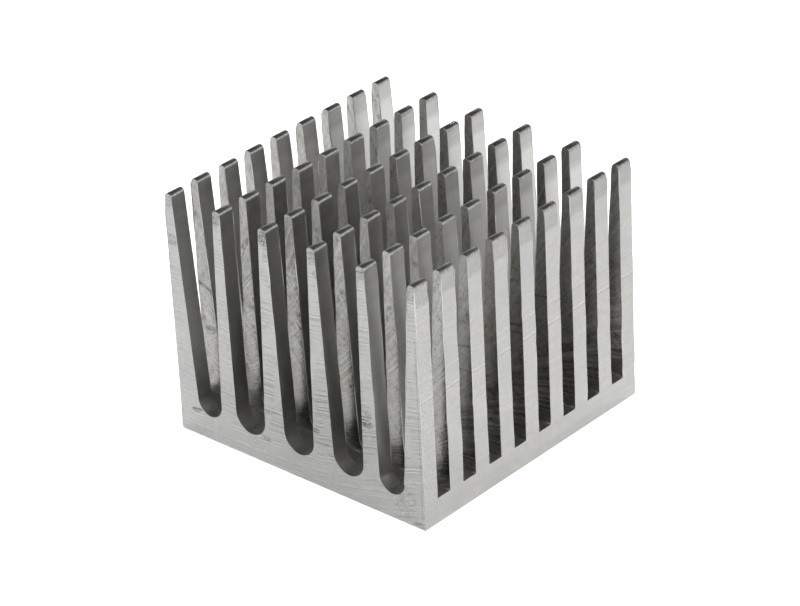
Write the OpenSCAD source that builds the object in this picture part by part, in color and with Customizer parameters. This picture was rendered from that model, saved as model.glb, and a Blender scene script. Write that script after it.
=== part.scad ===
// Pin-fin heat sink, made from one length of extruded aluminium.
// Its section, a base with six upright fins, runs along Y.  Eight saw cuts across
// the fins, along X, leave nine rows of six square-ended pins.
// Origin: middle of the flat underside.  X across the fins, Y along the channels, +Z up.

/* [Body] */
// Width across the fins
body_w = 40; // [34:0.5:60]
// Length along the channels
body_l = 40; // [30:0.5:80]
// Height from the underside to the fin tips
body_h = 33; // [16:0.5:50]
// Thickness of the base under the channels
base_t = 3.4; // [2:0.1:8]
// Radius of the two long lower edges
base_edge_r = 0.25; // [0.1:0.05:0.8]

/* [Channels] */
// Width of each of the three middle channels at its rounded bottom
mid_channel_w = 4.8; // [3:0.1:5.4]
// Width of each of the two outer channels at its rounded bottom
outer_channel_w = 3.95; // [2.5:0.05:5]
// Distance that the second and fourth channels lie outwards of the middle between their tips
second_channel_out = 0.24; // [0:0.02:0.6]
// Distance that the two outer channels lie inwards of the middle between their tips
outer_channel_in = 0.62; // [0:0.02:1]

/* [Fins] */
// Thickness of a fin at its tip
tip_t = 1.2; // [1.2:0.05:2]
// Radius of the rounding on both sides of a tip
tip_r = 0.5; // [0.1:0.05:0.5]
// Distance that the second fin leans towards the middle at its tip
second_fin_lean = 0.3; // [0:0.05:0.8]
// Height of the slight slope at the top of the two outer faces
brow_h = 2.8; // [1:0.1:6]
// Distance that this slope comes in at the tip
brow_in = 0.12; // [0.02:0.02:0.18]

/* [Saw cuts] */
// Number of saw cuts
cut_count = 8; // [2:1:9]
// Width of one saw cut
cut_w = 2.3; // [1:0.05:2.8]
// Length of the pins at both ends, outside the first and the last cut
end_pin_l = 2.33; // [1:0.01:5]
// Height of the floor of the cuts above the lowest line of the channels
cut_lift = 0.1; // [0.1:0.05:3]

/* [Hidden] */
// Distance by which cutting shapes run past the surfaces that they cut
over = 1;
// Facets of a full circle
$fn = 64;

fin_count = 6;
channel_count = fin_count - 1;
middle_fin = (fin_count - 1) / 2;
middle_channel = (channel_count - 1) / 2;
tip_pitch = (body_w - tip_t) / (fin_count - 1);
cut_pitch = (body_l - 2 * end_pin_l - cut_w) / (cut_count - 1);
cut_floor = base_t + cut_lift;

// Fins and channels are counted from the -X side, from 0.

// Middle of the tip of fin i
function tip_x(i) = (i - middle_fin) * tip_pitch + (i == 1 ? second_fin_lean : 0);

// Where the rounding starts on fin i; side is 1 for its +X side and -1 for its -X side
function shoulder(i, side) =
    let (outer_face = i == (side > 0 ? fin_count - 1 : 0))
    [tip_x(i) + side * (tip_t / 2 - (outer_face ? brow_in : 0)), body_h - tip_r];

// Radius and centre of the round bottom of channel i
function is_outer_channel(i) = i == 0 || i == channel_count - 1;
function channel_r(i) = (is_outer_channel(i) ? outer_channel_w : mid_channel_w) / 2;
function channel_shift(i) = is_outer_channel(i) ? -outer_channel_in : second_channel_out;
function channel_centre(i) = [
    (i - middle_channel) * tip_pitch + sign(i - middle_channel) * channel_shift(i),
    base_t + channel_r(i)
];

// Block before the channels, up to the shoulders: its sides come in a little at the top
module block_section() {
    polygon([
        [-body_w / 2, 0],
        [body_w / 2, 0],
        [body_w / 2, body_h - brow_h],
        shoulder(fin_count - 1, 1),
        shoulder(0, -1),
        [-body_w / 2, body_h - brow_h]
    ]);
}

// One channel: a round bottom whose walls run straight up to the shoulders beside it
module channel_section(i) {
    left_top = shoulder(i, 1);
    right_top = shoulder(i + 1, -1);
    translate(channel_centre(i))
        circle(r = channel_r(i));
    polygon([
        channel_centre(i) - [channel_r(i), 0],
        channel_centre(i) + [channel_r(i), 0],
        right_top,
        right_top + [0, over],
        left_top + [0, over],
        left_top
    ]);
}

// Top of one fin, rounded on both sides, from its shoulders up
module tip_section(i) {
    left_centre = shoulder(i, -1) + [tip_r, 0];
    right_centre = shoulder(i, 1) - [tip_r, 0];
    for (centre = [left_centre, right_centre])
        translate(centre)
            circle(r = tip_r);
    translate(left_centre - [0, tip_r])
        square([right_centre[0] - left_centre[0], 2 * tip_r]);
}

// What the rounding of the lower +X edge takes away
module lower_edge_waste() {
    centre = [body_w / 2 - base_edge_r, base_edge_r];
    difference() {
        translate(centre - [0, base_edge_r + over])
            square(base_edge_r + over);
        translate(centre)
            circle(r = base_edge_r);
    }
}

// The whole section of the extrusion
module section() {
    difference() {
        block_section();
        for (i = [0 : channel_count - 1])
            channel_section(i);
        for (side = [0, 1])
            mirror([side, 0])
                lower_edge_waste();
    }
    for (i = [0 : fin_count - 1])
        tip_section(i);
}

// One saw cut, straight across all fins
module saw_cut() {
    translate([-body_w / 2 - over, -cut_w / 2, cut_floor])
        cube([body_w + 2 * over, cut_w, body_h - cut_floor + over]);
}

module heat_sink() {
    color("silver")
        difference() {
            translate([0, body_l / 2, 0])
                rotate([90, 0, 0])
                    linear_extrude(height = body_l)
                        section();
            for (k = [0 : cut_count - 1])
                translate([0, (k - (cut_count - 1) / 2) * cut_pitch, 0])
                    saw_cut();
        }
}

heat_sink();
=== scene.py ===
import math
import random

import bpy
from mathutils import Matrix, Vector


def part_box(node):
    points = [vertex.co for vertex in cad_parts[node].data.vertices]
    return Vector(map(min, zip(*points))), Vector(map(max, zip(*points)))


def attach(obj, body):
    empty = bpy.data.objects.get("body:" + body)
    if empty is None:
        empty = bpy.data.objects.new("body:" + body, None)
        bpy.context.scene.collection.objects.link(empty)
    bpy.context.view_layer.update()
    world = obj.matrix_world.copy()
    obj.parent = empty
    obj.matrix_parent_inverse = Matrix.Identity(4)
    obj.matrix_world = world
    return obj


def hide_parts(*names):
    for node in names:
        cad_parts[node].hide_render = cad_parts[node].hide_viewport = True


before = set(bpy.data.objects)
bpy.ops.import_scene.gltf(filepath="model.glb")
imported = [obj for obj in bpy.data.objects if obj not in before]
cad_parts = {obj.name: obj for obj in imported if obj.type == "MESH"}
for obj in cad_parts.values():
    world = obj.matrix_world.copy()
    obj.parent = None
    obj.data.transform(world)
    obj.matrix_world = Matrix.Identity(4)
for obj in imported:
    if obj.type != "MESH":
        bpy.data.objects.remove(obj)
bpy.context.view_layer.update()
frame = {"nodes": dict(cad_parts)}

mm = 0.001
print("frame loaded:", ", ".join(frame["nodes"]))


def deselectAll():
    if bpy.context.mode != "OBJECT":
        bpy.ops.object.mode_set(mode="OBJECT")
    bpy.ops.object.select_all(action="DESELECT")


def chooseFaces(piece, test):  # leaves the piece in edit mode with only these faces selected
    bpy.ops.object.mode_set(mode="OBJECT")
    for face in piece.data.polygons:
        face.select = test(face)
    for edge in piece.data.edges:
        edge.select = False
    for vertex in piece.data.vertices:
        vertex.select = False
    bpy.ops.object.mode_set(mode="EDIT")
    bpy.ops.mesh.select_mode(type="FACE")


def makeActive(obj):
    deselectAll()
    obj.select_set(True)
    bpy.context.view_layer.objects.active = obj


def applyModifiers(obj):
    makeActive(obj)
    for modifier in list(obj.modifiers):
        bpy.ops.object.modifier_apply(modifier=modifier.name)


cameraLook = {
    "azimuth": 42.578,  # degrees round from the front, towards +X
    "elevation": 28.978,  # degrees above the floor
    "roll": -2.970,
    "distance": 0.46676,
    "aim": (-0.07 * mm, -0.68 * mm, 15.68 * mm),
    "lens": 171.2,
    "sensor": 36.0,
    "clipStart": 0.01,
}


def addCamera():
    azimuth = math.radians(cameraLook["azimuth"])
    elevation = math.radians(cameraLook["elevation"])
    back = Vector((
        math.sin(azimuth) * math.cos(elevation),
        -math.cos(azimuth) * math.cos(elevation),
        math.sin(elevation),
    ))
    data = bpy.data.cameras.new("camera")
    data.lens = cameraLook["lens"]
    data.sensor_width = cameraLook["sensor"]
    data.clip_start = cameraLook["clipStart"]
    camera = bpy.data.objects.new("camera", data)
    bpy.context.scene.collection.objects.link(camera)
    roll = Matrix.Rotation(math.radians(cameraLook["roll"]), 3, "Z")
    turn = back.to_track_quat("Z", "Y").to_matrix() @ roll
    place = Vector(cameraLook["aim"]) + back * cameraLook["distance"]
    camera.matrix_world = Matrix.Translation(place) @ turn.to_4x4()
    bpy.context.scene.camera = camera


addCamera()
print("camera placed")


sink = {
    "finCount": 6,
    "cutCount": 8,
    "cutWidth": 2.3 * mm,
    "endPin": 2.33 * mm,
    "cutFloor": 3.5 * mm,
    "mergeWithin": 0.0005 * mm,
    "flatWithin": 0.6,  # degrees between faces that become one
    "edgeBevel": 0.05 * mm,
    "bevelOver": 50,  # degrees between faces whose edge is rounded
    "bevelSegments": 2,
    "smoothUnder": 40,  # degrees between faces that shade as one
    "pinLean": 0.05 * mm,  # most that a pin's tip stands out of line
    "pinRise": 0.6,  # most that it stands high or low, as a share of pinLean
    "tipsFrom": 0.75,  # share of the height above which everything moves with the tips
    "seedsPerFin": 100,
    "sawnFacing": 0.7,  # cosine to Y past which a face was sawn
    "endWithin": 0.1 * mm,  # distance from the end within which a sawn face is the end face
    "outerFaceFrom": 19.5 * mm,  # x beyond which a surface is an outer face
    "dieLines": ((17.6, 1.0), (20.35, 0.35)),  # height in mm and strength of the lines on the outer faces
    "dieLineWidth": 0.12 * mm,
    "dieLineRise": 0.025 * mm,
}
nearly = 0.01 * mm
straight = 0.99  # cosine past which a face counts as square to an axis

sinkLow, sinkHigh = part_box("heat_sink")
cutPitch = (sinkHigh.y - sinkLow.y - 2 * sink["endPin"] - sink["cutWidth"]) / (sink["cutCount"] - 1)


def copyOfNode(nodeName, pieceName):
    source = frame["nodes"][nodeName]
    piece = bpy.data.objects.new(pieceName, source.data.copy())
    bpy.context.scene.collection.objects.link(piece)
    piece.data.materials.clear()
    makeActive(piece)
    bpy.ops.object.mode_set(mode="EDIT")
    bpy.ops.mesh.select_all(action="SELECT")
    bpy.ops.mesh.remove_doubles(threshold=sink["mergeWithin"])
    bpy.ops.mesh.dissolve_limited(angle_limit=math.radians(sink["flatWithin"]))
    bpy.ops.object.mode_set(mode="OBJECT")
    return piece


def pinSeed(place):  # the same for every vertex of one pin
    column = round((place.x / sinkHigh.x + 1) / 2 * (sink["finCount"] - 1))
    row = round((place.y - sinkLow.y - sink["endPin"] / 2) / cutPitch)
    return column * sink["seedsPerFin"] + row


def leanPins(piece):
    rise = sink["pinRise"]
    for vertex in piece.data.vertices:
        if vertex.co.z < sinkHigh.z * sink["tipsFrom"]:
            continue
        rng = random.Random(pinSeed(vertex.co))
        shift = Vector((rng.uniform(-1, 1), rng.uniform(-1, 1), rng.uniform(-rise, rise)))
        vertex.co += shift * sink["pinLean"]


def raiseDieLines(piece):  # fine beads that the die left along both outer faces
    makeActive(piece)
    outerFrom = sink["outerFaceFrom"]
    for side in (-1, 1):
        for heightInMm, _ in sink["dieLines"]:
            height = heightInMm * mm
            for level in (-1, 0, 1):
                chooseFaces(
                    piece, lambda face: face.normal.x * side > straight and abs(face.center.x) > outerFrom
                )
                cutHeight = height + level * sink["dieLineWidth"]
                bpy.ops.mesh.bisect(plane_co=(0, 0, cutHeight), plane_no=(0, 0, 1))
            bpy.ops.object.mode_set(mode="OBJECT")
            for vertex in piece.data.vertices:
                if vertex.co.x * side > outerFrom and abs(vertex.co.z - height) < nearly:
                    vertex.co.x += side * sink["dieLineRise"]


def bevelEdges(piece):
    bevel = piece.modifiers.new("edges", "BEVEL")
    bevel.limit_method = "ANGLE"
    bevel.angle_limit = math.radians(sink["bevelOver"])
    bevel.width = sink["edgeBevel"]
    bevel.segments = sink["bevelSegments"]
    bevel.use_clamp_overlap = True
    applyModifiers(piece)
    bpy.ops.object.shade_smooth_by_angle(angle=math.radians(sink["smoothUnder"]))
    piece.modifiers.new("flatten", "WEIGHTED_NORMAL").keep_sharp = True
    applyModifiers(piece)


def buildSink():
    piece = copyOfNode("heat_sink", "finned_body")
    leanPins(piece)
    raiseDieLines(piece)
    bevelEdges(piece)
    return piece


burr = {
    "size": 0.055 * mm,
    "sides": 4,
    "cuts": 11,
    "thin": 0.15,  # least thickness, as a share of size
    "thick": 1.3,  # most that is added to it
    "raggedness": 3,  # a higher power leaves fewer thick bits
    "stray": 0.03,  # most that a ring slips along the strip
    "sunk": 0.03 * mm,  # how far the strip's middle lies inside the metal, so that only its higher bits show
    "shoulder": 32.4 * mm,
    "farSize": 1.3,
    "endSize": 0.8,
    "cornerSize": 1.4,
    "tipSize": 2.6,
    "tipBurr": ((-3.9 * mm, 14.3 * mm, 33.02 * mm), (-3.7 * mm, 14.9 * mm, 33.1 * mm)),
    "seeds": {"near": 50, "far": 51, "floor": 52, "wall": 1000, "end": 2000, "corner": 3000, "tip": 4000},
    "seedsPerCut": 20,
    "seedsPerWall": 3,
    # each wall of the five channels: x at the top, x and height where the round bottom starts, side it faces
    "walls": (
        (-18.80, -16.875, 5.375, 1), (-11.94, -12.925, 5.375, -1),
        (-10.74, -10.40, 5.8, 1), (-4.48, -5.60, 5.8, -1),
        (-3.28, -2.40, 5.8, 1), (3.28, 2.40, 5.8, -1),
        (4.48, 5.60, 5.8, 1), (11.04, 10.40, 5.8, -1),
        (12.24, 12.925, 5.375, 1), (18.80, 16.875, 5.375, -1),
    ),
}


def modelBurr():  # a thin upright strip, one long and one across, with rings of vertices up its length
    deselectAll()
    bpy.ops.mesh.primitive_cylinder_add(vertices=burr["sides"], radius=1, depth=1, location=(0, 0, 0))
    strip = bpy.context.object
    bpy.ops.object.mode_set(mode="EDIT")
    bpy.ops.mesh.select_all(action="DESELECT")
    bpy.ops.object.mode_set(mode="OBJECT")
    for edge in strip.data.edges:
        low, high = (strip.data.vertices[index].co.z for index in edge.vertices)
        edge.select = abs(high - low) > 0.5  # the four upright edges
    bpy.ops.object.mode_set(mode="EDIT")
    bpy.ops.mesh.select_mode(type="EDGE")
    bpy.ops.mesh.subdivide(number_cuts=burr["cuts"])
    bpy.ops.object.mode_set(mode="OBJECT")
    return strip


def layBurr(model, start, end, outward, seed, size=1.0):
    rng = random.Random(seed)
    strip = model.copy()
    strip.data = model.data.copy()
    bpy.context.scene.collection.objects.link(strip)
    along = Vector(end) - Vector(start)
    first = Vector(outward).normalized()
    second = along.cross(first).normalized()
    middle = Vector(start) - first * burr["sunk"]
    for vertex in strip.data.vertices:
        high = burr["thin"] + rng.random() ** burr["raggedness"] * burr["thick"]
        share = vertex.co.z + 0.5 + rng.uniform(-burr["stray"], burr["stray"])
        share = min(max(share, 0.0), 1.0)
        side = first * vertex.co.x + second * vertex.co.y
        vertex.co = middle + along * share + side * high * size * burr["size"]
    return strip


def wallBurr(model, wall, y, back, seed, size=1.0):  # up one channel wall, where a saw crossed it at this y
    topX, lowX, lowZ, side = wall
    low, high = (lowX * mm, y, lowZ * mm), (topX * mm, y, burr["shoulder"])
    return layBurr(model, low, high, (side, back, 0), seed, size)


def burrsOfCut(model, cut):
    top, floor, seeds = burr["shoulder"], sink["cutFloor"], burr["seeds"]
    near = sinkLow.y + sink["endPin"] + cut * cutPitch
    far = near + sink["cutWidth"]
    strips = []
    for side, x in ((-1, sinkLow.x), (1, sinkHigh.x)):
        for start, end, outward, seed, size in (
            ((x, near, floor), (x, near, top), (side, 1, 0), seeds["near"], 1.0),
            ((x, far, floor), (x, far, top), (side, -1, 0), seeds["far"], burr["farSize"]),
            ((x, near, floor), (x, far, floor), (side, 0, 1), seeds["floor"], 1.0),
        ):
            strips.append(layBurr(model, start, end, outward, cut + seed * side, size))
    for number, wall in enumerate(burr["walls"]):
        for y, back in ((near, 1), (far, -1)):
            seed = seeds["wall"] + burr["seedsPerCut"] * cut + number * burr["seedsPerWall"] + back
            strips.append(wallBurr(model, wall, y, back, seed))
    return strips


def addBurrs():
    model = modelBurr()
    seeds = burr["seeds"]
    strips = []
    for cut in range(sink["cutCount"]):
        strips += burrsOfCut(model, cut)
    for y, back in ((sinkLow.y, -1), (sinkHigh.y, 1)):
        for number, wall in enumerate(burr["walls"]):
            strips.append(wallBurr(model, wall, y, back, seeds["end"] + number * back, burr["endSize"]))
    for side in (-1, 1):
        for back in (-1, 1):
            x, y = side * sinkHigh.x, back * sinkHigh.y
            start, end = (x, y, 0), (x, y, burr["shoulder"])
            seed = seeds["corner"] + side + 2 * back
            strips.append(layBurr(model, start, end, (side, back, 0), seed, burr["cornerSize"]))
    strips.append(layBurr(model, *burr["tipBurr"], (0, 0, 1), seeds["tip"], burr["tipSize"]))
    bpy.data.objects.remove(model)
    return strips


def newTree(name):
    material = bpy.data.materials.new(name)
    material.use_nodes = True
    return material, material.node_tree


def addNode(tree, kind, inputs=None, **settings):
    node = tree.nodes.new(kind)
    for name, value in settings.items():
        setattr(node, name, value)
    for key, value in (inputs or {}).items():
        if isinstance(value, bpy.types.NodeSocket):
            tree.links.new(value, node.inputs[key])
        else:
            node.inputs[key].default_value = value
    return node


def calc(tree, operation, first, second=0.0):
    return addNode(tree, "ShaderNodeMath", {0: first, 1: second}, operation=operation).outputs[0]


def plus(tree, first, second):
    return calc(tree, "ADD", first, second)


def minus(tree, first, second):
    return calc(tree, "SUBTRACT", first, second)


def times(tree, first, second):
    return calc(tree, "MULTIPLY", first, second)


def unsigned(tree, value):
    return calc(tree, "ABSOLUTE", value)


def remap(tree, value, low, high, toLow=0.0, toHigh=1.0):  # smooth step from low to high
    inputs = {"Value": value, "From Min": low, "From Max": high, "To Min": toLow, "To Max": toHigh}
    return addNode(tree, "ShaderNodeMapRange", inputs, interpolation_type="SMOOTHSTEP").outputs["Result"]


def swing(tree, value, low, high):  # a noise spread out to run from -1 to 1
    return remap(tree, value, low, high, -1, 1)


def placeInMm(tree):  # object coordinates in millimetres, whole and as x, y, z
    place = addNode(tree, "ShaderNodeTexCoord").outputs["Object"]
    scaled = addNode(tree, "ShaderNodeVectorMath", {0: place, "Scale": 1000.0}, operation="SCALE").outputs[0]
    parts = addNode(tree, "ShaderNodeSeparateXYZ", {0: scaled}).outputs
    return scaled, parts[0], parts[1], parts[2]


def stretched(tree, place, perMm):  # the place with its own number of pattern cells per mm on each axis
    return addNode(tree, "ShaderNodeVectorMath", {0: place, 1: perMm}, operation="MULTIPLY").outputs[0]


def cloud(tree, place, scale, detail=3.0, roughness=0.55):
    inputs = {"Vector": place, "Scale": scale, "Detail": detail, "Roughness": roughness}
    return addNode(tree, "ShaderNodeTexNoise", inputs).outputs[0]


def lines(tree, position, perMm, detail=2.0):  # random lines across one measure
    inputs = {"W": position, "Scale": perMm, "Detail": detail, "Roughness": 0.6}
    return addNode(tree, "ShaderNodeTexNoise", inputs, noise_dimensions="1D").outputs[0]


def addUp(tree, parts):  # sum of (socket, weight)
    total = None
    for socket, weight in parts:
        piece = times(tree, socket, weight)
        total = piece if total is None else plus(tree, total, piece)
    return total


def weigh(sockets, weights):  # pairs each named socket with the weight of the same name
    return [(socket, weights[name]) for name, socket in sockets.items()]


def most(tree, sockets):
    total = sockets[0]
    for socket in sockets[1:]:
        total = calc(tree, "MAXIMUM", total, socket)
    return total


def squares(tree, first, second):  # sum of the two squares
    return plus(tree, times(tree, first, first), times(tree, second, second))


def spot(tree, x, z, centre, halfWidth, halfHeight):  # 1 inside a soft oval at (x, z), 0 outside
    across = calc(tree, "DIVIDE", minus(tree, x, centre[0]), halfWidth)
    up = calc(tree, "DIVIDE", minus(tree, z, centre[1]), halfHeight)
    return remap(tree, squares(tree, across, up), 1.3, 0.5)


def mark(tree, x, z, start, end, halfWidth):  # 1 on a soft line from start to end, both (x, z) in mm
    alongX, alongZ = end[0] - start[0], end[1] - start[1]
    length = alongX * alongX + alongZ * alongZ
    fromX, fromZ = minus(tree, x, start[0]), minus(tree, z, start[1])
    share = addUp(tree, [(fromX, alongX / length), (fromZ, alongZ / length)])
    share = calc(tree, "MINIMUM", calc(tree, "MAXIMUM", share, 0.0), 1.0)
    missX = minus(tree, fromX, times(tree, share, alongX))
    missZ = minus(tree, fromZ, times(tree, share, alongZ))
    return remap(tree, squares(tree, missX, missZ), (1.5 * halfWidth) ** 2, (0.5 * halfWidth) ** 2)


def blendColour(tree, amount, first, second):
    node = tree.nodes.new("ShaderNodeMix")
    node.data_type = "RGBA"
    tree.links.new(amount, node.inputs[0])
    node.inputs[6].default_value = (*first, 1)
    node.inputs[7].default_value = (*second, 1)
    return node.outputs[2]


def shadeMetal(tree, colour, tones, roughness, height, depth):  # a tone of 0.1 lightens the colour by a tenth
    shader = tree.nodes["Principled BSDF"]
    shader.inputs["Metallic"].default_value = 1
    tone = plus(tree, addUp(tree, tones), 1.0)
    toneColour = addNode(tree, "ShaderNodeCombineXYZ", {0: tone, 1: tone, 2: tone}).outputs[0]
    inputs = {0: colour, 1: toneColour}
    mixed = addNode(tree, "ShaderNodeVectorMath", inputs, operation="MULTIPLY").outputs[0]
    tree.links.new(mixed, shader.inputs["Base Color"])
    tree.links.new(roughness, shader.inputs["Roughness"])
    bump = addNode(tree, "ShaderNodeBump", {"Height": height, "Distance": depth, "Strength": 1.0})
    tree.links.new(bump.outputs[0], shader.inputs["Normal"])


skin = {
    "colour": (0.66, 0.66, 0.648),
    "stain": (0.63, 0.615, 0.58),
    "roughness": 0.28,
    "bumpDepth": 0.02 * mm,
    # where each look starts and is full, in mm
    "outerX": (19.6, 19.75),
    # painted shade: the outer faces darken from about 30.5 mm up, where the profile bends
    "browShadeZ": (30.2, 30.8),
    # painted shade: the skin darkens low in the channels
    "deepShadeZ": (9.5, 5.5),
    "underTipZ": (29.7, 31.0),
    "underTipBackY": (-2.0, 8.0),
    # the tips above this height are darkened as painted shade, and made duller
    "tipZ": (32.3, 32.6),
    "roughCornerY": (-15.5, -19.0),
    "rimZ": (3.1, 3.7),  # the base, below the cuts, has no torn rims
    "lineEdge": (0.17, 0.05),  # distance from a die line
    "lineShadow": 0.24,  # distance of the dark side below a die line
    "tones": {
        # this line holds the weight of the painted shade low in the channels
        "blotch": 0.04, "grain": 0.025, "outer": -0.14, "deepShade": -0.25, "mottle": 0.035,
        # this line holds the weight of the painted shade on the top band of the outer faces
        "underTip": -0.10, "underTipBack": -0.14, "lineLit": 0.20, "lineShaded": -0.14, "browShade": -0.15,
        # this line holds the weights of the painted shade on the tips and of the painted glints on them
        "speck": -0.12, "tip": -0.12, "tipGlint": 0.22, "rimDark": -0.16, "rimLight": 0.14, "roughCorner": 0.06,
    },
    "duller": {"outer": 0.06, "deepShade": 0.15, "tip": 0.12},  # added to the roughness
    "bumps": {"grain": 0.06, "lineLit": 0.6, "speck": -0.4, "blotch": 0.6},
}


def dieLineTones(tree, place, z, outer):  # the lit line and the dark one below it, both broken
    wander = remap(tree, cloud(tree, place, 0.6, 2), 0.3, 0.7, -0.1, 0.1)
    level = plus(tree, z, wander)
    lit, shaded = [], []
    for height, strength in sink["dieLines"]:
        over = minus(tree, level, height)
        broken = cloud(tree, stretched(tree, place, (1, 1, 0.3)), 0.9, 3)
        broken = remap(tree, broken, 0.3, 0.55, 0.25, strength)
        under = plus(tree, over, skin["lineShadow"])
        lit.append(times(tree, remap(tree, unsigned(tree, over), *skin["lineEdge"]), broken))
        shaded.append(times(tree, remap(tree, unsigned(tree, under), *skin["lineEdge"]), broken))
    return times(tree, most(tree, lit), outer), times(tree, most(tree, shaded), outer)


def cutRims(tree, y, z, outer):  # narrow bands on the outer faces, on both sides of every cut
    fromCut = minus(tree, y, (sinkLow.y + sink["endPin"]) / mm)
    fromCut = calc(tree, "FLOORED_MODULO", fromCut, cutPitch / mm)
    width, pitch = sink["cutWidth"] / mm, cutPitch / mm
    after = remap(tree, fromCut, width + 0.35, width + 0.1)
    before = remap(tree, fromCut, pitch - 0.3, pitch - 0.1)
    return times(tree, plus(tree, after, before), times(tree, outer, remap(tree, z, *skin["rimZ"])))


def extrudedSkin():
    material, tree = newTree("extruded_skin")
    place, x, y, z = placeInMm(tree)
    outer = remap(tree, unsigned(tree, x), *skin["outerX"])
    notOuter = minus(tree, 1.0, outer)
    blotch = cloud(tree, place, 0.17, 4, 0.6)
    grain = cloud(tree, stretched(tree, place, (0.5, 0.02, 0.5)), 3.0, 2, 0.5)  # drawn out along the extrusion
    fleck = cloud(tree, place, 2.6, 2, 0.5)
    torn = cloud(tree, stretched(tree, place, (1.0, 1.6, 1.0)), 2.4, 2, 0.5)
    mottle = swing(tree, cloud(tree, place, 1.1, 4, 0.65), 0.35, 0.65)
    lit, shaded = dieLineTones(tree, place, z, outer)
    unevenZ = plus(tree, z, times(tree, blotch, 0.8))
    # painted shade on the top band of the outer faces
    browShade = times(tree, remap(tree, unevenZ, *skin["browShadeZ"]), outer)
    speck = times(tree, remap(tree, fleck, 0.66, 0.74), outer)
    rim = cutRims(tree, y, z, outer)
    roughCorner = times(tree, remap(tree, y, *skin["roughCornerY"]), outer)
    # painted shade low in the channels, away from the outer faces
    deepShade = times(tree, remap(tree, z, *skin["deepShadeZ"]), notOuter)
    underTip = remap(tree, z, *skin["underTipZ"])
    underTipBack = times(tree, underTip, remap(tree, y, *skin["underTipBackY"]))
    # painted shade on the tips, which are also duller
    tip = remap(tree, z, *skin["tipZ"])
    belowTip = remap(tree, z, *reversed(skin["tipZ"]))
    tones = weigh({
        "blotch": swing(tree, blotch, 0.35, 0.65),
        "grain": swing(tree, grain, 0.3, 0.7),
        "outer": outer,
        "deepShade": deepShade,
        "mottle": times(tree, times(tree, mottle, outer), remap(tree, blotch, 0.45, 0.6)),
        "underTip": times(tree, underTip, notOuter),
        "underTipBack": times(tree, underTipBack, notOuter),
        "lineLit": lit,
        "lineShaded": shaded,
        "browShade": browShade,
        "speck": speck,
        "tip": tip,
        # painted glints: light flecks on the tips
        "tipGlint": times(tree, tip, remap(tree, torn, 0.52, 0.60)),
        "rimDark": times(tree, rim, remap(tree, torn, 0.42, 0.36)),
        "rimLight": times(tree, rim, remap(tree, torn, 0.54, 0.60)),
        "roughCorner": times(tree, roughCorner, swing(tree, torn, 0.35, 0.65)),
    }, skin["tones"])
    stained = remap(tree, blotch, 0.45, 0.7, 0, 0.7)
    colour = blendColour(tree, stained, skin["colour"], skin["stain"])
    duller = addUp(tree, weigh({"outer": outer, "deepShade": deepShade, "tip": tip}, skin["duller"]))
    roughness = plus(tree, duller, skin["roughness"])
    bumps = {"grain": grain, "lineLit": lit, "speck": speck, "blotch": times(tree, blotch, belowTip)}
    height = addUp(tree, weigh(bumps, skin["bumps"]))
    shadeMetal(tree, colour, tones, roughness, height, skin["bumpDepth"])
    return material


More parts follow.
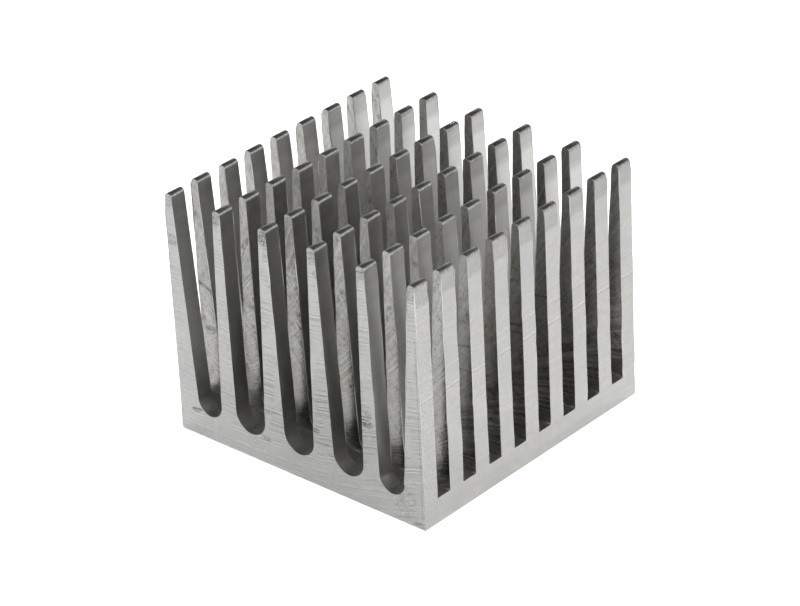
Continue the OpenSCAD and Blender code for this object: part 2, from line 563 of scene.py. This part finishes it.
sawnEndLook = {
    "colour": (0.64, 0.64, 0.63),
    "dull": (0.60, 0.60, 0.575),
    "roughness": 0.42,
    "bumpDepth": 0.035 * mm,
    # where each look starts and is full, in mm
    "frontY": (1.0, -1.0),  # knocks and scuffs are on the front end only
    "deepLinesX": (-19.0, -6.0),  # the saw lines grow from half to full strength
    "lowRidgeZ": (4.0, 2.0),
    "underTipZ": (31.9, 33.2),
    # painted reflection: the lower left, the lower right and the lowest band of the end face are lightened like
    # the mirrored lit floor
    "lowLeftLight": {"x": (2.0, -12.0), "z": (9.0, 3.0)},
    "lowRightLight": {"x": (8.0, 17.0), "z": (5.0, 2.0)},
    "lowZ": (4.5, 2.5),
    # soft ovals: centre, half width, half height
    "scuff": ((17.3, 3.1), 2.0, 2.1),
    "chatter": ((2.5, 9.0), 12.0, 5.0),
    # painted reflection: a darker oval, the floor's shadow as the end face mirrors it
    "mirroredShadow": ((7.0, 10.5), 8.0, 6.0),
    # the saw lines are level up to this x and then rise, a little less so high up
    "curveFromX": -8.0,
    "curve": 0.0078,
    "curveLessByZ": 0.00017,
    "tones": {
        "ridge": 0.24, "lowRidge": 0.12, "groove": -0.14, "fine": 0.05, "mottle": 0.045, "blotch": 0.04,
        # this line holds the weights of the painted reflection: lighter lower corners and lowest band, and a
        # darker oval
        "underTip": -0.12, "pits": -1.0, "lowLeftLight": 0.11, "lowRightLight": 0.09, "low": 0.02, "mirroredShadow": -0.07,
        "scuff": 0.05, "scuffDark": -0.16, "scuffLight": 0.14,
    },
    "mottleDuller": 0.12,
    "bumps": {"ridge": 1.0, "groove": -0.8, "fine": 0.4, "mottle": 0.4, "pits": -3.0, "scuff": 4.0},
    "scratches": (  # start, end, half width, strength: bright where positive
        ((15.3, 1.9), (16.6, 3.4), 0.07, -0.24),
        ((16.4, 2.9), (17.7, 4.5), 0.06, -0.20),
        ((17.3, 1.6), (16.3, 3.0), 0.07, -0.24),
        ((16.5, 3.2), (15.7, 4.3), 0.06, -0.20),
        ((16.3, 1.2), (17.7, 2.6), 0.06, 0.20),
        ((14.9, 2.6), (16.2, 4.1), 0.06, 0.20),
        ((17.0, 2.2), (18.2, 3.0), 0.06, -0.20),
        ((16.9, 3.9), (17.9, 3.2), 0.06, 0.20),
        ((-17.9, 3.55), (-16.5, 3.8), 0.15, -0.62),
        ((-17.5, 3.3), (-16.9, 3.35), 0.10, -0.45),
        ((17.9, 0.6), (19.2, 0.9), 0.08, -0.24),
        ((18.6, 0.3), (19.6, 0.55), 0.07, 0.20),
        ((10.5, 13.95), (12.0, 14.15), 0.08, -0.32),
        ((10.4, 12.5), (12.1, 12.75), 0.09, -0.36),
        ((10.5, 12.4), (10.6, 13.9), 0.06, -0.26),
        ((-14.3, 0.7), (-14.1, 3.2), 0.12, 0.10),
        ((2.3, 6.15), (4.9, 6.45), 0.09, -0.35),
        ((17.3, 5.5), (19.6, 5.75), 0.10, 0.18),
        ((17.4, 6.3), (19.5, 6.5), 0.10, 0.14),
        ((19.55, 0.3), (19.62, 26.0), 0.07, -0.26),
        ((-19.9, 26.2), (-18.6, 26.5), 0.22, -0.22),
        ((-19.9, 27.2), (-18.7, 27.3), 0.16, -0.16),
    ),
    "smudges": (  # centre, half width, half height, strength
        ((-17.2, 3.6), 0.8, 0.3, 0.25),
        ((-5.4, 3.65), 0.8, 0.3, 0.50),
        ((-4.9, 7.6), 0.9, 0.3, 0.35),
        ((3.0, 7.8), 0.6, 0.4, 0.60),
        ((11.3, 11.75), 1.0, 0.65, 0.55),
        ((11.6, 13.2), 0.6, 0.5, 0.30),
        ((18.9, 0.6), 0.8, 0.35, 0.40),
        ((4.6, 29.6), 0.7, 0.6, 0.35),
        ((-19.2, 26.8), 0.8, 0.9, 0.20),
        ((-11.9, 31.8), 0.9, 1.2, 0.28),
        ((-3.6, 31.8), 1.0, 1.2, 0.42),
        ((-3.4, 29.6), 0.6, 1.0, 0.25),
        ((4.4, 32.0), 0.8, 0.9, 0.20),
        ((12.2, 32.1), 0.8, 0.7, 0.18),
    ),
}


def bladePasses(tree, place, x, z):  # one value along each pass of the cut-off blade
    right = calc(tree, "MAXIMUM", plus(tree, x, -sawnEndLook["curveFromX"]), 0.0)
    curve = minus(tree, sawnEndLook["curve"], times(tree, z, sawnEndLook["curveLessByZ"]))
    level = minus(tree, z, times(tree, times(tree, right, right), curve))
    step = lines(tree, x, 0.45, 0)
    return plus(tree, level, addUp(tree, [(cloud(tree, place, 0.4, 1), 0.12), (step, 0.25)]))


def knockTones(tree, place, x, z, mottle, front):  # smudges and scratches, as (socket, weight)
    chipped = remap(tree, cloud(tree, stretched(tree, place, (1.0, 1.0, 1.5)), 3.2, 3, 0.6), 0.40, 0.56)
    chipped = times(tree, chipped, front)
    rubbed = times(tree, remap(tree, mottle, 0.36, 0.50), front)
    tones = []
    for centre, halfWidth, halfHeight, strength in sawnEndLook["smudges"]:
        smudge = spot(tree, x, z, centre, halfWidth, halfHeight)
        tones.append((times(tree, smudge, chipped), -strength))
    for start, end, halfWidth, strength in sawnEndLook["scratches"]:
        tones.append((times(tree, mark(tree, x, z, start, end, halfWidth), rubbed), strength))
    return tones


def sawnEnd():
    material, tree = newTree("sawn_end")
    look = sawnEndLook
    place, x, y, z = placeInMm(tree)
    level = bladePasses(tree, place, x, z)
    coarse = lines(tree, level, 4.2, 1)
    fine = lines(tree, level, 9.0, 1)
    patch = remap(tree, cloud(tree, stretched(tree, place, (0.9, 1.0, 0.4)), 0.6, 3), 0.38, 0.55)
    cut = times(tree, patch, remap(tree, x, *look["deepLinesX"], 0.5, 1.0))
    chatter = remap(tree, spot(tree, x, z, *look["chatter"]), 0.0, 1.0, 1.0, 1.9)
    ridge = times(tree, remap(tree, coarse, 0.56, 0.64), cut)
    groove = times(tree, times(tree, remap(tree, coarse, 0.42, 0.34), cut), chatter)
    mottle = cloud(tree, place, 1.6, 4, 0.6)
    blotch = cloud(tree, place, 0.2, 3)
    grit = cloud(tree, place, 3.4, 3, 0.6)
    cracked = cloud(tree, stretched(tree, place, (1.0, 1.0, 0.7)), 2.0, 2, 0.5)
    underTip = remap(tree, plus(tree, z, times(tree, mottle, 3.0)), *look["underTipZ"])
    front = remap(tree, y, *look["frontY"])
    scuff = times(tree, spot(tree, x, z, *look["scuff"]), front)
    pitted = plus(tree, times(tree, underTip, 0.3), 0.05)
    pits = times(tree, remap(tree, grit, 0.54, 0.64), pitted)
    # painted reflection: lighter lower corners of the end face
    lowLeftLight, lowRightLight = (
        times(tree, remap(tree, x, *look[corner]["x"]), remap(tree, z, *look[corner]["z"]))
        for corner in ("lowLeftLight", "lowRightLight")
    )
    tones = weigh({
        "ridge": ridge,
        "lowRidge": times(tree, ridge, remap(tree, level, *look["lowRidgeZ"])),
        "groove": groove,
        "fine": swing(tree, fine, 0.3, 0.7),
        "mottle": swing(tree, mottle, 0.3, 0.7),
        "blotch": swing(tree, blotch, 0.35, 0.65),
        "underTip": underTip,
        "pits": pits,
        "lowLeftLight": lowLeftLight,
        "lowRightLight": lowRightLight,
        # painted reflection: a lighter lowest band of the end face
        "low": remap(tree, z, *look["lowZ"]),
        # painted reflection: a darker oval of mirrored floor shadow
        "mirroredShadow": spot(tree, x, z, *look["mirroredShadow"]),
        "scuff": scuff,
        "scuffDark": times(tree, scuff, remap(tree, cracked, 0.40, 0.46)),
        "scuffLight": times(tree, scuff, remap(tree, cracked, 0.54, 0.60)),
    }, look["tones"])
    tones += knockTones(tree, place, x, z, mottle, front)
    colour = blendColour(tree, remap(tree, blotch, 0.4, 0.7), look["colour"], look["dull"])
    duller = look["mottleDuller"]
    roughness = plus(tree, times(tree, mottle, duller), look["roughness"] - duller / 2)
    bumps = {
        "ridge": ridge, "groove": groove, "fine": fine, "mottle": mottle, "pits": pits,
        "scuff": times(tree, scuff, cracked),
    }
    height = addUp(tree, weigh(bumps, look["bumps"]))
    shadeMetal(tree, colour, tones, roughness, height, look["bumpDepth"])
    return material


slotLook = {
    "colour": (0.52, 0.515, 0.50),
    "stain": (0.485, 0.465, 0.43),
    "roughness": 0.17,
    "bumpDepth": 0.035 * mm,
    "bladeRadius": 45.0,
    # where each look starts and is full, in mm
    "innerY": (-14.5, -13.5),  # behind the first cut's far faces
    "sunkZ": (17.0, 11.0),
    "frontTopZ": (10.0, 20.0),
    # soft ovals on those first faces: centre, half width, half height
    "dusk": ((-3.0, 31.0), 3.5, 7.0),
    "wideDusk": ((0.0, 24.0), 13.0, 12.0),
    "wideDuskShare": 0.45,
    "shiftPerMm": 7.3,  # the arcs move on by this much along Y, so that no two faces match
    "bowBase": 2.718,
    "bowSlope": 0.056,  # rise of the shallow arcs toward +X
    "tones": {
        "bite": -1.0, "streak": 0.50, "frontTop": -0.12, "dusk": -0.26, "arcs": 0.11, "fineArcs": 0.08,
        "mottle": 0.12, "grit": -0.18, "stain": -0.30,
    },
    "duller": {"mottle": 0.12, "stain": 0.08, "inner": 0.14},  # added to the roughness
    "bumps": {"arcs": 0.22, "fineArcs": 0.35, "mottle": 0.7, "grit": 0.4},
    "bites": (  # slot counted from the front, then start and end (x, z), half width and strength of a dark line
        (1, (16.6, 20.2), (20.0, 20.9), 0.14, 0.45),
        (1, (16.4, 17.3), (20.0, 17.4), 0.12, 0.35),
        (3, (17.0, 24.6), (19.2, 25.4), 0.22, 0.40),
        (3, (16.8, 18.9), (20.0, 19.5), 0.16, 0.45),
        (3, (16.8, 18.1), (20.0, 18.3), 0.13, 0.35),
        (4, (16.6, 20.7), (20.0, 21.2), 0.14, 0.40),
        (5, (16.6, 28.6), (18.0, 28.9), 0.25, 0.30),
        (0, (-19.9, 18.7), (-15.2, 16.9), 0.22, 0.45),
        (0, (-11.3, 18.0), (-8.4, 18.4), 0.24, 0.40),
        (0, (-3.4, 19.6), (-1.2, 20.0), 0.30, 0.40),
        (0, (-3.2, 24.3), (-1.4, 24.7), 0.35, 0.35),
        (0, (4.8, 23.9), (6.6, 24.6), 0.40, 0.25),
        (0, (12.6, 26.1), (14.6, 26.6), 0.40, 0.35),
        (0, (-19.0, 12.6), (-16.6, 12.9), 0.30, 0.35),
    ),
}


def bladeArcs(tree, place, x, y, z, sunk):  # the arcs, strong and faint by patches, and finer ones
    radius = slotLook["bladeRadius"]
    drop = minus(tree, sink["cutFloor"] / mm + radius, z)
    inside = calc(tree, "MAXIMUM", minus(tree, radius ** 2, times(tree, drop, drop)), 0.0)
    reach = calc(tree, "SQRT", inside)
    warp = times(tree, cloud(tree, place, 0.35, 3), 1.2)
    perPin = plus(tree, times(tree, y, slotLook["shiftPerMm"]), warp)
    rising = plus(tree, minus(tree, x, reach), perPin)  # constant along an arc that climbs toward +X
    falling = plus(tree, plus(tree, x, reach), perPin)
    side = plus(tree, cloud(tree, place, 0.14, 2), times(tree, x, 0.012))
    patch = times(tree, remap(tree, side, 0.38, 0.48), minus(tree, 1.0, sunk))  # where the arcs climb
    descending = times(tree, lines(tree, falling, 1.0), minus(tree, 1.0, patch))
    arcs = plus(tree, times(tree, lines(tree, rising, 1.2), patch), descending)
    strength = remap(tree, cloud(tree, place, 0.22, 2), 0.42, 0.62, 0.12, 1.0)
    return times(tree, swing(tree, arcs, 0.38, 0.62), strength), lines(tree, rising, 3.4, 1)


def lowStreaks(tree, place, x, y, z, sunk):  # shallow arcs low in the cuts
    above = calc(tree, "MAXIMUM", minus(tree, z, sink["cutFloor"] / mm + 0.2), 0.1)
    bow = calc(tree, "LOGARITHM", above, slotLook["bowBase"])
    bow = minus(tree, bow, times(tree, x, slotLook["bowSlope"]))
    bow = addUp(tree, [(bow, 1.0), (y, 1.7), (cloud(tree, place, 0.5, 2), 0.12)])
    return times(tree, remap(tree, lines(tree, bow, 6.0, 3), 0.36, 0.66, -0.45, 0.8), sunk)


def biteMarks(tree, x, y, z, mottle):  # the dark lines, each on the far face of its own cut
    bitten = []
    for slot, start, end, halfWidth, strength in slotLook["bites"]:
        farFace = (sinkLow.y + sink["endPin"] + slot * cutPitch + sink["cutWidth"]) / mm
        onFace = remap(tree, unsigned(tree, minus(tree, y, farFace)), 0.6, 0.4)
        line = times(tree, mark(tree, x, z, start, end, halfWidth), onFace)
        bitten.append(times(tree, line, strength))
    return times(tree, most(tree, bitten), remap(tree, mottle, 0.36, 0.56, 0.2, 1.0))


def sawnSlot():
    material, tree = newTree("sawn_slot")
    look = slotLook
    place, x, y, z = placeInMm(tree)
    inner = remap(tree, y, *look["innerY"])
    sunk = times(tree, inner, remap(tree, z, *look["sunkZ"]))
    arcs, fineArcs = bladeArcs(tree, place, x, y, z, sunk)
    streak = lowStreaks(tree, place, x, y, z, sunk)
    frontTop = times(tree, remap(tree, z, *look["frontTopZ"]), minus(tree, 1.0, inner))
    wideDusk = times(tree, spot(tree, x, z, *look["wideDusk"]), look["wideDuskShare"])
    dusk = most(tree, [spot(tree, x, z, *look["dusk"]), wideDusk])
    mottle = cloud(tree, place, 1.3, 5, 0.7)
    grit = cloud(tree, place, 3.2, 3, 0.6)
    stain = remap(tree, cloud(tree, stretched(tree, place, (1.0, 1.0, 0.8)), 0.5, 4, 0.65), 0.57, 0.68)
    tones = weigh({
        "bite": biteMarks(tree, x, y, z, mottle),
        "streak": streak,
        "frontTop": frontTop,
        "dusk": times(tree, frontTop, dusk),
        "arcs": arcs,
        "fineArcs": swing(tree, fineArcs, 0.35, 0.65),
        "mottle": swing(tree, mottle, 0.32, 0.68),
        "grit": remap(tree, grit, 0.58, 0.68),
        "stain": stain,
    }, look["tones"])
    dulled = remap(tree, cloud(tree, place, 0.3, 4), 0.47, 0.64)
    colour = blendColour(tree, dulled, look["colour"], look["stain"])
    duller = addUp(tree, weigh({"mottle": mottle, "stain": stain, "inner": inner}, look["duller"]))
    roughness = plus(tree, duller, look["roughness"] - look["duller"]["mottle"] / 2)
    bumps = {"arcs": arcs, "fineArcs": fineArcs, "mottle": mottle, "grit": grit}
    height = addUp(tree, weigh(bumps, look["bumps"]))
    shadeMetal(tree, colour, tones, roughness, height, look["bumpDepth"])
    return material


burrLook = {"colour": (0.74, 0.74, 0.72), "roughness": 0.3}


def dressBurrs(strips):
    material, tree = newTree("bright_burr")
    shader = tree.nodes["Principled BSDF"]
    shader.inputs["Base Color"].default_value = (*burrLook["colour"], 1)
    shader.inputs["Metallic"].default_value = 1
    shader.inputs["Roughness"].default_value = burrLook["roughness"]
    for strip in strips:
        strip.data.materials.append(material)


def dressSink(piece):
    for kind in (extrudedSkin(), sawnEnd(), sawnSlot()):
        piece.data.materials.append(kind)
    endSlot, cutSlot = 1, 2  # the other faces keep the first material
    for face in piece.data.polygons:
        if abs(face.normal.y) > sink["sawnFacing"]:
            atEnd = abs(abs(face.center.y) - sinkHigh.y) < sink["endWithin"]
            face.material_index = endSlot if atEnd else cutSlot


def joinTo(piece, parts):
    deselectAll()
    for part in parts:
        part.select_set(True)
    piece.select_set(True)
    bpy.context.view_layer.objects.active = piece
    bpy.ops.object.join()


body = buildSink()
dressSink(body)
burrStrips = addBurrs()
dressBurrs(burrStrips)
print("burrs laid:", len(burrStrips))
joinTo(body, burrStrips)
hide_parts("heat_sink")
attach(body, "root")
print("heat sink modelled:", len(body.data.polygons), "faces")


stage = {
    "floorSize": 8.0,
    "floorColour": 0.9,
    "floorRoughness": 0.9,
    "cameraGlow": 0.8,  # plain white added to the lit floor where the camera sees it
    "mirrorGlow": 0.17,  # and where the metal mirrors it
    "horizon": 1.0,
    "overhead": 0.05,
    "horizonTop": 0.22,  # height on the unit sky where the bright band ends
    "darkFrom": 0.38,
    "rightLift": 0.3,  # the bright band reaches higher on the right
}

lamps = {
    # lights the floor and casts the shadow, and the metal does not mirror it
    "paper_lamp": {
        "place": (0.05, 0.75, 1.0), "aim": (0, 0, 0), "size": (0.9, 0.9), "power": 12.5, "mirrored": False,
    },
    "front_soft_box": {
        "place": (0.35, -0.75, 0.85), "aim": (0, 0, 0.02), "size": (0.7, 0.5), "power": 4, "mirrored": True,
    },
}


def addFloor():
    deselectAll()
    bpy.ops.mesh.primitive_plane_add(size=stage["floorSize"], location=(0, 0, 0))
    floor = bpy.context.object
    floor.name = "floor"
    material, tree = newTree("white_paper")
    shader = tree.nodes["Principled BSDF"]
    shader.inputs["Base Color"].default_value = (*[stage["floorColour"]] * 3, 1)
    shader.inputs["Roughness"].default_value = stage["floorRoughness"]
    shader.inputs["Specular IOR Level"].default_value = 0
    glow = addNode(tree, "ShaderNodeEmission", {"Color": (1, 1, 1, 1)})
    rays = addNode(tree, "ShaderNodeLightPath").outputs
    mirrored = calc(tree, "MAXIMUM", rays["Is Glossy Ray"], rays["Is Transmission Ray"])
    strength = addUp(tree, [(rays["Is Camera Ray"], stage["cameraGlow"]), (mirrored, stage["mirrorGlow"])])
    tree.links.new(strength, glow.inputs["Strength"])
    both = addNode(tree, "ShaderNodeAddShader", {0: shader.outputs[0], 1: glow.outputs[0]})
    tree.links.new(both.outputs[0], tree.nodes["Material Output"].inputs["Surface"])
    floor.data.materials.append(material)


def addLamp(name, look):
    data = bpy.data.lights.new(name, "AREA")
    data.shape = "RECTANGLE"
    data.size, data.size_y = look["size"]
    data.energy = look["power"]
    lamp = bpy.data.objects.new(name, data)
    bpy.context.scene.collection.objects.link(lamp)
    lamp.location = look["place"]
    back = Vector(look["place"]) - Vector(look["aim"])
    lamp.rotation_euler = back.to_track_quat("Z", "Y").to_euler()
    lamp.visible_glossy = look["mirrored"]


def addWorld():  # a band of light round the horizon, dark overhead
    world = bpy.data.worlds.new("room")
    bpy.context.scene.world = world
    world.use_nodes = True
    tree = world.node_tree
    direction = addNode(tree, "ShaderNodeTexCoord").outputs["Generated"]
    parts = addNode(tree, "ShaderNodeSeparateXYZ", {0: direction}).outputs
    right = times(tree, calc(tree, "MAXIMUM", parts[0], 0.0), stage["rightLift"])
    up = minus(tree, parts[2], right)
    strength = remap(
        tree, up, stage["horizonTop"], stage["darkFrom"], stage["horizon"], stage["overhead"]
    )
    tree.nodes["Background"].inputs["Color"].default_value = (1, 1, 1, 1)
    tree.links.new(strength, tree.nodes["Background"].inputs["Strength"])


addFloor()
addWorld()
for lampName, lampLook in lamps.items():
    addLamp(lampName, lampLook)
bpy.context.scene.view_settings.view_transform = "Standard"
print("stage set:", len(lamps), "lamps")
